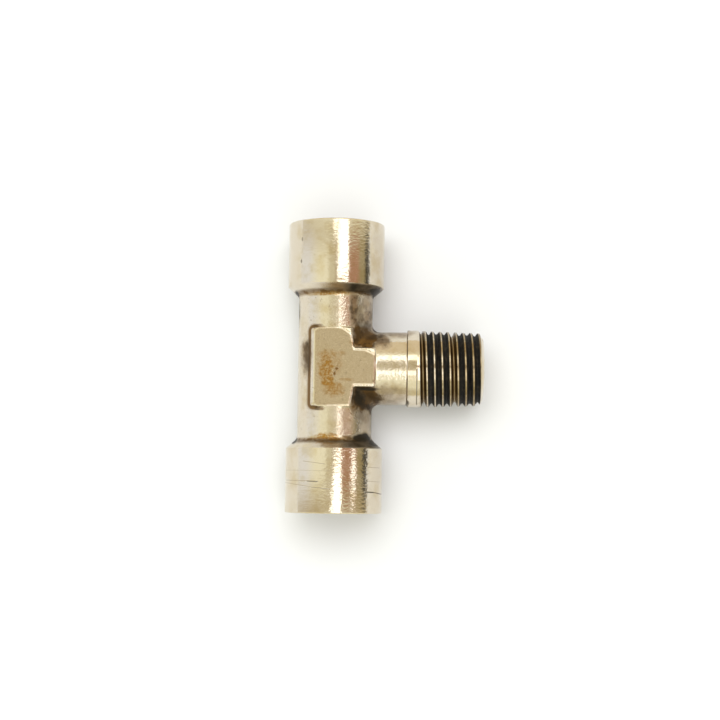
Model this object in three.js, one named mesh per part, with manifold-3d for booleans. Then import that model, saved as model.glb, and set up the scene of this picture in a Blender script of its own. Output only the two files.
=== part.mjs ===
// Tee fitting: a nickel-plated brass forging with two female threaded sockets on its run, a male
// taper-threaded branch and a T-shaped wrench flat on each side, and the dark sealant left in the
// roots of the male thread.
//
// Units are millimetres. +Y runs along the run, +X along the male branch, and +Z out of the upper
// wrench flat. The origin is on the lower wrench flat, straight below the crossing of the two axes.

import * as THREE from 'three';
import { mergeVertices } from 'three/addons/utils/BufferGeometryUtils.js';
import Module from 'manifold-3d';

const wasm = await Module();
wasm.setup();

// Pipe thread form shared by the sockets (parallel, G 1/4) and the branch (taper, R 1/4).
const THREAD = {
  pitch: 1.337,
  majorRadius: 6.5785,
  depth: 0.856,
  flankAngle: 27.5 * Math.PI / 180,
  rootHalfWidth: 0.111,
};

// Run: a tube with a turned collar on each end.
const RUN_LENGTH = 50.6;
const COLLAR_RADIUS = 8.45;
const COLLAR_LENGTH = 11.15;
const COLLAR_EDGE_BREAK = 0.2;
const TUBE_RADIUS = 6.5;
const SHOULDER_CONE_RADIUS = 7.0;
const SHOULDER_CONE_LENGTH = 1.25;
const SHOULDER_FILLET_LENGTH = 1.05;

// Branch: a forged neck, a turned band, and the taper thread with its chamfered tip.
const NECK_RADIUS = 6.4;
const BAND_START = 12.65;
const BAND_END = 14.5;
const BAND_RADIUS = 6.775;
const TIP_X = 25.95;
const TIP_CHAMFER_START = 25.3;
const TIP_FACE_RADIUS = 5.1;
const GAUGE_LENGTH = 6.0;
const TAPER_PER_SIDE = 1 / 32;
const FIRST_CREST_X = 16.0;
const RUN_OUT_START = 14.3;
const RUN_OUT_END = 15.4;

// Wrench flats: a T-shaped block whose two faces stand just proud of the tube and the neck.
const FLAT_HALF_HEIGHT = 6.55;
const FLAT_EDGE_BREAK = 0.35;
const BAR = { left: -3.95, right: 3.4, bottom: -7.05, top: 6.6 };
const ARM = { right: 7.15, bottom: -3.6, top: 3.1 };
const BAR_CORNER_RADIUS = 0.7;

// Passages.
const RUN_BORE_RADIUS = 4.0;
const BRANCH_BORE_RADIUS = 3.5;
const SOCKET_DEPTH = 11.5;
const SOCKET_THREAD_DEPTH = 10.0;
const SOCKET_CHAMFER_RADIUS = 6.8;
const DRILL_POINT_ANGLE = 59 * Math.PI / 180;

// Sealant left in the roots of the male thread, counted in crests from the band.
const SEALANT_CLEARANCE = 0.06;
const SEALANT_HEIGHT = 0.5;
const SEALANT_INNER_TURNS = [-0.35, 2.6];
const SEALANT_OUTER_TURNS = [3.55, 6.3];

// Facets around a circle.
const OUTER_SEGMENTS = 40;
const BORE_SEGMENTS = 24;
const SOCKET_SEGMENTS = 20;
const MALE_SEGMENTS = 24;

const HALF_RUN = RUN_LENGTH / 2;
const COLLAR_START = HALF_RUN - COLLAR_LENGTH;
const SOCKET_BORE_RADIUS = THREAD.majorRadius - THREAD.depth;
const GAUGE_X = TIP_X - GAUGE_LENGTH;
const CUT_OVERRUN = 1.0;

// ---- Solids from geometry, and geometry from solids ----

function solidFrom(geometry) {
  const bare = geometry.clone();
  bare.deleteAttribute('normal');
  bare.deleteAttribute('uv');
  const merged = mergeVertices(bare, 1e-5);
  const corners = Array.from(merged.index.array);
  const triVerts = [];
  for (let i = 0; i < corners.length; i += 3) {
    const [a, b, c] = corners.slice(i, i + 3);
    if (a !== b && b !== c && c !== a) triVerts.push(a, b, c);
  }
  return new wasm.Manifold(new wasm.Mesh({
    numProp: 3,
    vertProperties: new Float32Array(merged.attributes.position.array),
    triVerts: new Uint32Array(triVerts),
  }));
}

function geometryFrom(solid) {
  const mesh = solid.getMesh();
  const geometry = new THREE.BufferGeometry();
  geometry.setAttribute('position', new THREE.BufferAttribute(new Float32Array(mesh.vertProperties), 3));
  geometry.setIndex(new THREE.BufferAttribute(new Uint32Array(mesh.triVerts), 1));
  geometry.computeVertexNormals();
  return geometry;
}

// A solid of revolution about the run axis from [radius, y] points that start and end on the axis.
function turnedAlongRun(profile, segments) {
  const points = profile.map(([radius, y]) => new THREE.Vector2(radius, y));
  return new THREE.LatheGeometry(points, segments);
}

// The same about the branch axis, from [radius, x] points.
function turnedAlongBranch(profile, segments) {
  return turnedAlongRun(profile, segments).rotateZ(-Math.PI / 2).rotateX(Math.PI / 2);
}

// A closed band through equal rings of points, with its first and last ring filled in.
function sweptThrough(rings) {
  const count = rings[0].length;
  const positions = rings.flat().flatMap((p) => [p.x, p.y, p.z]);
  const index = [];
  for (let i = 0; i + 1 < rings.length; i += 1) {
    for (let j = 0; j < count; j += 1) {
      const a = i * count + j;
      const b = i * count + (j + 1) % count;
      index.push(a, b, a + count, b, b + count, a + count);
    }
  }
  const last = (rings.length - 1) * count;
  for (let j = 1; j + 1 < count; j += 1) {
    index.push(0, j + 1, j, last, last + j, last + j + 1);
  }
  const geometry = new THREE.BufferGeometry();
  geometry.setAttribute('position', new THREE.Float32BufferAttribute(positions, 3));
  geometry.setIndex(index);
  return geometry;
}

// ---- Threads ----

// Half the width of the thread groove at a height above its root.
function grooveHalfWidth(height) {
  return THREAD.rootHalfWidth + height * Math.tan(THREAD.flankAngle);
}

function maleMajorRadius(x) {
  return THREAD.majorRadius + (GAUGE_X - x) * TAPER_PER_SIDE;
}

// A point at an angle around the branch axis, turning right-handed about +X from the +Z side.
function aroundBranch(x, radius, angle) {
  return new THREE.Vector3(x, -radius * Math.sin(angle), radius * Math.cos(angle));
}

// The right-hand groove of the taper thread, which runs out onto the band.
function maleGrooveCutter() {
  const outside = 0.1;
  const firstTurn = (RUN_OUT_START - FIRST_CREST_X) / THREAD.pitch - 0.5;
  const lastTurn = (TIP_X + CUT_OVERRUN - FIRST_CREST_X) / THREAD.pitch;
  const firstStep = Math.floor(firstTurn * MALE_SEGMENTS);
  const lastStep = Math.ceil(lastTurn * MALE_SEGMENTS);
  const rings = [];
  for (let step = firstStep; step <= lastStep; step += 1) {
    const turns = (step + 0.5) / MALE_SEGMENTS;
    const x = FIRST_CREST_X + (turns + 0.5) * THREAD.pitch;
    const lift = THREE.MathUtils.clamp((RUN_OUT_END - x) / (RUN_OUT_END - RUN_OUT_START), 0, 1);
    const root = maleMajorRadius(x) - THREAD.depth + lift * (THREAD.depth + outside / 2);
    const top = maleMajorRadius(x) + outside;
    const rootHalf = grooveHalfWidth(0);
    const topHalf = grooveHalfWidth(top - root);
    const angle = turns * 2 * Math.PI;
    rings.push([
      aroundBranch(x - topHalf, top, angle),
      aroundBranch(x - rootHalf, root, angle),
      aroundBranch(x + rootHalf, root, angle),
      aroundBranch(x + topHalf, top, angle),
    ]);
  }
  return sweptThrough(rings);
}

// The right-hand groove of a socket's parallel thread, open at the socket's mouth on the +Y end.
function socketGrooveCutter() {
  const inside = 0.1;
  const mouth = HALF_RUN + CUT_OVERRUN;
  const turnCount = (SOCKET_THREAD_DEPTH + CUT_OVERRUN) / THREAD.pitch;
  const inner = SOCKET_BORE_RADIUS - inside;
  const rings = [];
  for (let step = 0; step <= Math.ceil(turnCount * SOCKET_SEGMENTS); step += 1) {
    const turns = (step + 0.5) / SOCKET_SEGMENTS;
    const angle = turns * 2 * Math.PI;
    const y = mouth - turns * THREAD.pitch;
    const at = (dy, radius) => new THREE.Vector3(
      -radius * Math.sin(angle),
      y + dy,
      radius * Math.cos(angle),
    );
    const rootHalf = grooveHalfWidth(0);
    const innerHalf = grooveHalfWidth(THREAD.depth + inside);
    rings.push([
      at(innerHalf, inner),
      at(-innerHalf, inner),
      at(-rootHalf, THREAD.majorRadius),
      at(rootHalf, THREAD.majorRadius),
    ]);
  }
  return sweptThrough(rings);
}

// ---- Body ----

// The shoulder between a collar and the tube, from the tube outwards: a fillet, then a cone.
function shoulderProfile() {
  const coneStart = COLLAR_START - SHOULDER_CONE_LENGTH;
  const filletStart = coneStart - SHOULDER_FILLET_LENGTH;
  const coneSlope = SHOULDER_CONE_LENGTH / (COLLAR_RADIUS - SHOULDER_CONE_RADIUS);
  const corner = coneStart - (SHOULDER_CONE_RADIUS - TUBE_RADIUS) * coneSlope;
  const curve = new THREE.QuadraticBezierCurve(
    new THREE.Vector2(TUBE_RADIUS, filletStart),
    new THREE.Vector2(TUBE_RADIUS, corner),
    new THREE.Vector2(SHOULDER_CONE_RADIUS, coneStart),
  );
  return curve.getPoints(3).map((p) => [p.x, p.y]);
}

function runBlank() {
  const upper = [
    ...shoulderProfile(),
    [COLLAR_RADIUS, COLLAR_START],
    [COLLAR_RADIUS, HALF_RUN - COLLAR_EDGE_BREAK],
    [COLLAR_RADIUS - COLLAR_EDGE_BREAK, HALF_RUN],
    [0, HALF_RUN],
  ];
  const lower = upper.map(([radius, y]) => [radius, -y]).reverse();
  return turnedAlongRun([...lower, ...upper], OUTER_SEGMENTS);
}

function branchBlank() {
  return turnedAlongBranch([
    [0, 0],
    [NECK_RADIUS, 0],
    [NECK_RADIUS, BAND_START],
    [BAND_RADIUS, BAND_START],
    [BAND_RADIUS, BAND_END],
    [maleMajorRadius(BAND_END), BAND_END],
    [maleMajorRadius(TIP_CHAMFER_START), TIP_CHAMFER_START],
    [TIP_FACE_RADIUS, TIP_X],
    [0, TIP_X],
  ], MALE_SEGMENTS);
}

// The T-shaped block that carries both wrench flats: a bar along the run and an arm on the neck.
function wrenchBlock() {
  const grow = FLAT_EDGE_BREAK;
  const outline = new THREE.Shape();
  outline.moveTo(BAR.right - grow, BAR.bottom + grow);
  outline.lineTo(BAR.right - grow, ARM.bottom + grow);
  outline.lineTo(ARM.right - grow, ARM.bottom + grow);
  outline.lineTo(ARM.right - grow, ARM.top - grow);
  outline.lineTo(BAR.right - grow, ARM.top - grow);
  outline.lineTo(BAR.right - grow, BAR.top - grow);
  outline.lineTo(BAR.left + BAR_CORNER_RADIUS, BAR.top - grow);
  outline.quadraticCurveTo(BAR.left + grow, BAR.top - grow, BAR.left + grow, BAR.top - BAR_CORNER_RADIUS);
  outline.lineTo(BAR.left + grow, BAR.bottom + BAR_CORNER_RADIUS);
  outline.quadraticCurveTo(
    BAR.left + grow,
    BAR.bottom + grow,
    BAR.left + BAR_CORNER_RADIUS,
    BAR.bottom + grow,
  );
  outline.closePath();
  const block = new THREE.ExtrudeGeometry(outline, {
    depth: 2 * (FLAT_HALF_HEIGHT - grow),
    curveSegments: 3,
    bevelThickness: grow,
    bevelSize: grow,
    bevelSegments: 2,
  });
  return block.translate(0, 0, grow - FLAT_HALF_HEIGHT);
}

// The smooth bore of one socket on the +Y end: mouth chamfer, tapping drill and drill point.
function socketBore() {
  const bottom = HALF_RUN - SOCKET_DEPTH;
  const point = SOCKET_BORE_RADIUS / Math.tan(DRILL_POINT_ANGLE);
  const chamferDepth = SOCKET_CHAMFER_RADIUS - SOCKET_BORE_RADIUS;
  return turnedAlongRun([
    [0, bottom - point],
    [SOCKET_BORE_RADIUS, bottom],
    [SOCKET_BORE_RADIUS, HALF_RUN - chamferDepth],
    [SOCKET_CHAMFER_RADIUS + CUT_OVERRUN, HALF_RUN + CUT_OVERRUN],
    [0, HALF_RUN + CUT_OVERRUN],
  ], SOCKET_SEGMENTS);
}

function runBore() {
  const reach = HALF_RUN - SOCKET_DEPTH;
  return turnedAlongRun([[0, -reach], [RUN_BORE_RADIUS, -reach], [RUN_BORE_RADIUS, reach], [0, reach]],
    BORE_SEGMENTS);
}

function branchBore() {
  const reach = TIP_X + CUT_OVERRUN;
  return turnedAlongBranch([[0, 0], [BRANCH_BORE_RADIUS, 0], [BRANCH_BORE_RADIUS, reach], [0, reach]],
    BORE_SEGMENTS);
}

function teeBody() {
  let body = solidFrom(runBlank())
    .add(solidFrom(branchBlank()).subtract(solidFrom(maleGrooveCutter())))
    .add(solidFrom(wrenchBlock()))
    .subtract(solidFrom(runBore()))
    .subtract(solidFrom(branchBore()));
  for (const cutter of [socketBore, socketGrooveCutter]) {
    body = body.subtract(solidFrom(cutter()));
    body = body.subtract(solidFrom(cutter().rotateZ(Math.PI)));
  }
  return geometryFrom(body);
}

// ---- Sealant ----

// A strip in the bottom of the male thread's groove, between two counts of turns past the first crest.
function sealantStrip([firstTurn, lastTurn]) {
  const firstStep = Math.round(firstTurn * MALE_SEGMENTS);
  const lastStep = Math.round(lastTurn * MALE_SEGMENTS);
  const rings = [];
  for (let step = firstStep; step <= lastStep; step += 1) {
    const turns = step / MALE_SEGMENTS;
    const x = FIRST_CREST_X + (turns + 0.5) * THREAD.pitch;
    const root = maleMajorRadius(x) - THREAD.depth;
    const angle = turns * 2 * Math.PI;
    const low = grooveHalfWidth(SEALANT_CLEARANCE) - SEALANT_CLEARANCE;
    const high = grooveHalfWidth(SEALANT_HEIGHT) - SEALANT_CLEARANCE;
    rings.push([
      aroundBranch(x - high, root + SEALANT_HEIGHT, angle),
      aroundBranch(x - low, root + SEALANT_CLEARANCE, angle),
      aroundBranch(x + low, root + SEALANT_CLEARANCE, angle),
      aroundBranch(x + high, root + SEALANT_HEIGHT, angle),
    ]);
  }
  return sweptThrough(rings);
}

// ---- Assembly ----

function piece(name, geometry, material) {
  const mesh = new THREE.Mesh(geometry, material);
  mesh.name = name;
  mesh.position.z = FLAT_HALF_HEIGHT;
  return mesh;
}

const nickelPlate = new THREE.MeshStandardMaterial({ color: 0xcdbf9f, roughness: 0.3, metalness: 1 });
const driedSealant = () => new THREE.MeshStandardMaterial({ color: 0x1b1a18, roughness: 0.8, metalness: 0 });

const tee = new THREE.Group();
tee.add(
  piece('tee_body', teeBody(), nickelPlate),
  piece('thread_sealant_inner', sealantStrip(SEALANT_INNER_TURNS), driedSealant()),
  piece('thread_sealant_outer', sealantStrip(SEALANT_OUTER_TURNS), driedSealant()),
);

export default tee;
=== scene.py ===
import math

import bpy
import numpy as np
import openvdb
from mathutils import Matrix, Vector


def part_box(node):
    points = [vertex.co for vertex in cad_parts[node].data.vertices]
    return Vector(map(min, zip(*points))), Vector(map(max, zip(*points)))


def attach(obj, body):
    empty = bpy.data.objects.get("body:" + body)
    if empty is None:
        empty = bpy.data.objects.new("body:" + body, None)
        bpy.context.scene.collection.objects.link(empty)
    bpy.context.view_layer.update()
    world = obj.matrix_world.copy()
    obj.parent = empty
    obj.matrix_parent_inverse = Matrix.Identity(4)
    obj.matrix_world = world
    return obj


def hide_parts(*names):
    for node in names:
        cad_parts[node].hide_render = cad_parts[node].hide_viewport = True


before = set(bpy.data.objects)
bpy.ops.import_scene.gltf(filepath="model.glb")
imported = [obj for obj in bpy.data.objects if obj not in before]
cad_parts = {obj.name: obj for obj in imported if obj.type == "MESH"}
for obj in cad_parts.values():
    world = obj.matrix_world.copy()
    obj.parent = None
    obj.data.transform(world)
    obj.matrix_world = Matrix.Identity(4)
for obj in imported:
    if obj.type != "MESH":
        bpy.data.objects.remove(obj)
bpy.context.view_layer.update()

# Lengths are in millimetres, measured from the crossing of the two axes, until a mesh is finished.
# +Y runs along the run, +X along the male branch, and +Z out of the upper wrench flat.
MM = 0.001
BODY_LOW, BODY_HIGH = (np.array(corner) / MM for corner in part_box("tee_body"))
HALF_RUN = BODY_HIGH[1]
COLLAR_RADIUS = -BODY_LOW[0]
TIP_X = BODY_HIGH[0]
AXIS_HEIGHT = (BODY_LOW[2] + BODY_HIGH[2]) / 2
FLAT_HALF_HEIGHT = AXIS_HEIGHT
FLOOR_Z = BODY_LOW[2] * MM

# Run.
TUBE_RADIUS = 6.5
COLLAR_START = HALF_RUN - 11.15
SHOULDER_CONE_RADIUS = 7.0
SHOULDER_CONE_LENGTH = 1.25
SHOULDER_FILLET_LENGTH = 1.05
COLLAR_EDGE_BREAK = 0.2
CONE_START = COLLAR_START - SHOULDER_CONE_LENGTH
FILLET_START = CONE_START - SHOULDER_FILLET_LENGTH

# Branch.
NECK_RADIUS = 6.4
BAND_START = 12.65
BAND_END = 14.5
BAND_RADIUS = 6.775
BAND_EDGE = 0.1
TIP_CHAMFER = ((25.3, 6.38), (25.6, 5.93), (25.82, 5.45), (TIP_X, 4.7))
TIP_BORE_CHAMFER = 0.25

# Pipe thread form shared by the sockets (parallel) and the branch (taper).
PITCH = 1.337
THREAD_MAJOR_RADIUS = 6.5785
THREAD_DEPTH = 0.856
FLANK_ANGLE = math.radians(27.5)
ROOT_HALF_WIDTH = 0.085
TAPER_PER_SIDE = 1 / 32
GAUGE_X = TIP_X - 6.0
FIRST_CREST_X = 16.0
RUN_OUT_START = 14.3
RUN_OUT_END = 15.4

# Wrench flats: a T-shaped block, with x and y limits of its bar and of its arm.
BAR = (-3.95, 3.4, -7.05, 6.6)
ARM = (0.0, 7.15, -3.6, 3.1)
BLOCK_CORNER_RADIUS = 0.55
BLOCK_INNER_CORNER_RADIUS = 0.35
BLOCK_EDGE_RADIUS = 0.16
BLOCK_LEFT_EDGE_RADIUS = 0.95
BLOCK_LEFT_EDGE_REACH = (0.4, 1.6)
BLOCK_FOOT_RADIUS = 0.22
CROTCH_RADIUS = 1.3
CROTCH_FADE_POWER = 1.5
# Small worn facets along the block's corners: two ends of the facet's upper edge, each as (x, y), and
# the stretch of x where it is cut.
BLOCK_FACETS = (
    ((0.9, 6.6), (3.4, 4.95), (-1.0, 3.5)),
    ((4.2, 3.0), (7.15, 1.75), (3.5, 7.5)),
    ((-0.8, 6.5), (3.4, 6.15), (-1.0, 3.5)),
    ((3.4, -6.6), (-0.8, -6.75), (-1.0, 3.5)),
    ((3.4, 2.6), (7.15, 2.4), (3.5, 7.5)),
    ((7.15, -3.05), (3.4, -3.05), (3.5, 7.5)),
)
FACET_TILT = math.radians(12)
FACET_EDGE_RADIUS = 0.006

# Passages.
RUN_BORE_RADIUS = 4.0
BRANCH_BORE_RADIUS = 3.5
SOCKET_BOTTOM = HALF_RUN - 11.5
SOCKET_THREAD_LENGTH = 10.0
SOCKET_BORE_RADIUS = THREAD_MAJOR_RADIUS - THREAD_DEPTH
SOCKET_CHAMFER_RADIUS = 6.8
DRILL_POINT_ANGLE = math.radians(59)

# Dried sealant in the male thread, in turns past the groove beyond the first crest.
SEALANT_TURNS = {
    "thread_sealant_inner": (-0.35, 2.6),
    "thread_sealant_outer": (3.55, 6.3),
}
SEALANT_FADE_TURNS = 0.15
# The film's sizes: a mean value, how much it varies and, where it has one, its least value.
SEALANT_RIM_SHARE, SEALANT_RIM_VARIES = 0.9, 0.06
SEALANT_RIM_LIMITS = (0.25, THREAD_DEPTH - 0.03)
SEALANT_FILL, SEALANT_FILL_VARIES, SEALANT_LEAST_FILL = 0.24, 0.14, 0.08
SEALANT_SKIN, SEALANT_SKIN_VARIES, SEALANT_LEAST_SKIN = 0.07, 0.03, 0.03
SEALANT_BED = 0.04
SEALANT_UNDERSIDE = 0.02
SEALANT_FLANK_GAP = 0.012
RIM_SEED, FILL_SEED, SKIN_SEED = 3, 5, 7
RAGGED_WAVES = 9
RAGGED_RATES = (2.0, 23.0)
RAGGED_SPREAD = 4.0

# Mesh fineness.
SEGMENTS = 160
GROOVE_STEPS = 120
SHOULDER_POINTS = 9
CELL = 0.16
FIELD_MARGIN = 4 * CELL
PROJECTIONS = 4
LEAST_SLOPE = 0.25
TINY = 1e-6
# The forged middle is cut off at its reach, inside the turned ends, which start at the seam and stand
# out from it by the step.
FORGING_REACH = 8.9
FORGING_SEAM = 8.6
SEAM_STEP = 0.003
CUT_OVERRUN = 1.0
CUT_CLEARANCE = 0.1

# Shading, and the marks that guide the dirt and the painted shade.
SHARP_ANGLE = math.radians(30)
SEALANT_SHARP_ANGLE = math.radians(60)
FORGED_SKIN = 0.05
SEAM_MARGIN = 0.01
FOOT_MARK_WIDTH = 0.55
FULL_MARK_WALL = 0.9
CROTCH_MARK_WIDTH = 1.15


# ---- Solids ----


def solid(name, points, faces):
    """A mesh object, in millimetres, whose faces look outwards."""
    points = np.asarray(points, float)
    fans = np.array([(f[0], f[i], f[i + 1]) for f in faces for i in range(1, len(f) - 1)])
    first, second, third = (points[fans[:, i]] for i in range(3))
    if np.einsum("ij,ij->i", first, np.cross(second, third)).sum() < 0:
        faces = [tuple(reversed(face)) for face in faces]
    mesh = bpy.data.meshes.new(name)
    mesh.from_pydata(points.tolist(), [], [[int(i) for i in face] for face in faces])
    mesh.update()
    made = bpy.data.objects.new(name, mesh)
    bpy.context.scene.collection.objects.link(made)
    return made


def combine(target, other, operation):
    """Adds another solid to the target, or cuts it away, and uses the other one up."""
    modifier = target.modifiers.new(name="combine", type="BOOLEAN")
    modifier.operation = operation
    modifier.solver = "MANIFOLD"
    modifier.object = other
    depsgraph = bpy.context.evaluated_depsgraph_get()
    mesh = bpy.data.meshes.new_from_object(target.evaluated_get(depsgraph))
    target.modifiers.clear()
    old = target.data
    target.data = mesh
    bpy.data.meshes.remove(old)
    bpy.data.objects.remove(other)


def around(axis, along, radius, angle):
    """A point at an angle around the run ("Y") or the branch ("X"), from +Z towards the side."""
    side, up = -radius * math.sin(angle), radius * math.cos(angle)
    return (side, along, up) if axis == "Y" else (along, side, up)


def turned(axis, profile):
    """A closed solid of revolution from (along, radius) points that start and end on the axis."""
    points, rings, faces = [], [], []
    for along, radius in profile:
        count = SEGMENTS if radius > 0 else 1
        rings.append(range(len(points), len(points) + count))
        points += [around(axis, along, radius, 2 * math.pi * j / count) for j in range(count)]
    for lower, upper in zip(rings, rings[1:]):
        for j in range(SEGMENTS):
            k = (j + 1) % SEGMENTS
            if len(lower) == 1:
                faces.append((lower[0], upper[k], upper[j]))
            elif len(upper) == 1:
                faces.append((lower[j], lower[k], upper[0]))
            else:
                faces.append((lower[j], lower[k], upper[k], upper[j]))
    return solid("turned", points, faces)


def swept(name, rings):
    """A closed band through equal rings of points, with its two ends filled in."""
    count = len(rings[0])
    points = [point for ring in rings for point in ring]
    faces = []
    for i in range(len(rings) - 1):
        for j in range(count):
            a, b = i * count + j, i * count + (j + 1) % count
            faces.append((a, b, b + count, a + count))
    last = (len(rings) - 1) * count
    faces.append(tuple(reversed(range(count))))
    faces.append(tuple(range(last, last + count)))
    return solid(name, points, faces)


# ---- Forged middle: tube, neck, crotch fillets and wrench block as one distance field ----


def smooth_step(value, start, end):
    t = np.clip((value - start) / (end - start), 0, 1)
    return t * t * (3 - 2 * t)


def round_union(a, b, radius):
    corner = np.hypot(np.maximum(radius - a, 0), np.maximum(radius - b, 0))
    return np.maximum(radius, np.minimum(a, b)) - corner


def round_intersection(a, b, radius):
    return -round_union(-a, -b, radius)


def rectangle_field(x, y, limits, radius):
    left, right, bottom, top = limits
    dx = np.abs(x - (left + right) / 2) - (right - left) / 2 + radius
    dy = np.abs(y - (bottom + top) / 2) - (top - bottom) / 2 + radius
    outside = np.hypot(np.maximum(dx, 0), np.maximum(dy, 0))
    return np.minimum(np.maximum(dx, dy), 0) + outside - radius


def tubes_field(p):
    """Distance from the tube and the neck, with a fillet that fades out over their crowns."""
    x, y, z = p[..., 0], p[..., 1], p[..., 2]
    run_distance = np.hypot(x, z)
    branch_distance = np.hypot(y, z)
    tube = run_distance - TUBE_RADIUS
    neck = np.maximum(branch_distance - NECK_RADIUS, -x)
    alike = z * z / np.maximum(run_distance * branch_distance, TINY)
    return round_union(tube, neck, CROTCH_RADIUS * (1 - alike) ** CROTCH_FADE_POWER)


def block_field(p):
    """Distance from the wrench block."""
    x, y, z = p[..., 0], p[..., 1], p[..., 2]
    bar = rectangle_field(x, y, BAR, BLOCK_CORNER_RADIUS)
    arm = rectangle_field(x, y, ARM, BLOCK_CORNER_RADIUS)
    outline = round_union(bar, arm, BLOCK_INNER_CORNER_RADIUS)
    start, end = BLOCK_LEFT_EDGE_REACH
    crisp = smooth_step(x, BAR[0] + start, BAR[0] + end)
    edge = BLOCK_LEFT_EDGE_RADIUS + (BLOCK_EDGE_RADIUS - BLOCK_LEFT_EDGE_RADIUS) * crisp
    block = round_intersection(outline, np.abs(z) - FLAT_HALF_HEIGHT, edge)
    for (x0, y0), (x1, y1), (x_from, x_to) in BLOCK_FACETS:
        length = math.hypot(x1 - x0, y1 - y0)
        across = ((x - x0) * (y0 - y1) + (y - y0) * (x1 - x0)) / length
        facet = across * math.sin(FACET_TILT) + (z - FLAT_HALF_HEIGHT) * math.cos(FACET_TILT)
        facet = facet - np.clip(np.maximum(x_from - x, x - x_to), 0, None)
        block = round_intersection(block, facet, FACET_EDGE_RADIUS)
    return block


def forging_field(p):
    """The tubes and the block, with a fillet at the block's foot no larger than its wall is high."""
    wall = np.clip(FLAT_HALF_HEIGHT - np.abs(p[..., 2]), 0, BLOCK_FOOT_RADIUS)
    return round_union(tubes_field(p), block_field(p), wall)


def field_gradient(p, step=1e-4):
    offsets = np.eye(3) * step
    return np.stack(
        [(forging_field(p + d) - forging_field(p - d)) / (2 * step) for d in offsets], axis=-1
    )


def forging():
    """The forged middle: the field's surface as quads, whose free points are moved right onto it."""
    low = np.array([-TUBE_RADIUS, -FORGING_REACH, -FLAT_HALF_HEIGHT]) - FIELD_MARGIN
    high = np.array([FORGING_REACH, FORGING_REACH, FLAT_HALF_HEIGHT]) + FIELD_MARGIN
    counts = np.ceil((high - low) / CELL).astype(int)
    axes = [low[i] + CELL * np.arange(counts[i]) for i in range(3)]
    p = np.stack(np.meshgrid(*axes, indexing="ij"), axis=-1)
    values = forging_field(p)
    values = np.maximum(values, np.abs(p[..., 1]) - FORGING_REACH)
    values = np.maximum(values, p[..., 0] - FORGING_REACH)
    grid = openvdb.FloatGrid(1.0)
    grid.copyFromArray(values.astype(np.float32))
    points, quads = grid.convertToQuads(0.0)
    points = np.asarray(points, float) * CELL + low
    free = (np.abs(points[:, 1]) < FORGING_REACH - CELL) & (points[:, 0] < FORGING_REACH - CELL)
    for _ in range(PROJECTIONS):
        gradient = field_gradient(points[free])
        scale = forging_field(points[free]) / np.maximum((gradient**2).sum(-1), LEAST_SLOPE)
        points[free] -= gradient * scale[:, None]
    return solid("forging", points, quads)


# ---- Turned ends ----


def shoulder_profile():
    """From the tube to the collar: a fillet and a cone, as (along, radius) points."""
    slope = SHOULDER_CONE_LENGTH / (COLLAR_RADIUS - SHOULDER_CONE_RADIUS)
    corner = CONE_START - (SHOULDER_CONE_RADIUS - TUBE_RADIUS) * slope
    profile = []
    for t in np.linspace(0, 1, SHOULDER_POINTS):
        along = (1 - t) ** 2 * FILLET_START + 2 * t * (1 - t) * corner + t * t * CONE_START
        radius = (1 - t * t) * (TUBE_RADIUS + SEAM_STEP) + t * t * SHOULDER_CONE_RADIUS
        profile.append((along, radius))
    return profile


def edge_arc(along, radius, size, count=4):
    """Points of a rounded outer edge that ends at this length and radius."""
    turns = np.linspace(0, math.pi / 2, count)
    return [(along - size * (1 - math.sin(t)), radius - size * (1 - math.cos(t))) for t in turns]


def run_end(side):
    profile = [
        (FORGING_SEAM, 0.0),
        (FORGING_SEAM, TUBE_RADIUS + SEAM_STEP),
        *shoulder_profile(),
        (COLLAR_START, COLLAR_RADIUS),
        *edge_arc(HALF_RUN, COLLAR_RADIUS, COLLAR_EDGE_BREAK),
        (HALF_RUN, 0.0),
    ]
    return turned("Y", [(side * along, radius) for along, radius in profile])


def male_major_radius(x):
    return THREAD_MAJOR_RADIUS + (GAUGE_X - x) * TAPER_PER_SIDE


def branch_end():
    neck = NECK_RADIUS + SEAM_STEP
    return turned("X", [
        (FORGING_SEAM, 0.0),
        (FORGING_SEAM, neck),
        (BAND_START - BAND_EDGE, neck),
        (BAND_START, neck + BAND_EDGE),
        (BAND_START, BAND_RADIUS - BAND_EDGE),
        (BAND_START + BAND_EDGE, BAND_RADIUS),
        (BAND_END - 2 * BAND_EDGE, BAND_RADIUS),
        (BAND_END - BAND_EDGE, BAND_RADIUS),
        (BAND_END, male_major_radius(BAND_END)),
        *TIP_CHAMFER,
        (TIP_X, 0.0),
    ])


def groove_half_width(height):
    return ROOT_HALF_WIDTH + height * math.tan(FLANK_ANGLE)


def male_groove_cutter():
    """The right-hand groove of the taper thread, which runs out onto the band."""
    first = math.floor(((RUN_OUT_START - FIRST_CREST_X) / PITCH - 0.5) * GROOVE_STEPS)
    last = math.ceil((TIP_X + CUT_OVERRUN - FIRST_CREST_X) / PITCH * GROOVE_STEPS)
    rings = []
    for step in range(first, last + 1):
        turns = (step + 0.5) / GROOVE_STEPS
        x = FIRST_CREST_X + (turns + 0.5) * PITCH
        lift = min(max((RUN_OUT_END - x) / (RUN_OUT_END - RUN_OUT_START), 0), 1)
        root = male_major_radius(x) - THREAD_DEPTH + lift * (THREAD_DEPTH + CUT_CLEARANCE / 2)
        top = male_major_radius(x) + CUT_CLEARANCE
        top_half = groove_half_width(top - root)
        angle = turns * 2 * math.pi
        rings.append([
            around("X", x - top_half, top, angle),
            around("X", x - ROOT_HALF_WIDTH, root, angle),
            around("X", x + ROOT_HALF_WIDTH, root, angle),
            around("X", x + top_half, top, angle),
        ])
    return swept("male groove", rings)


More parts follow.
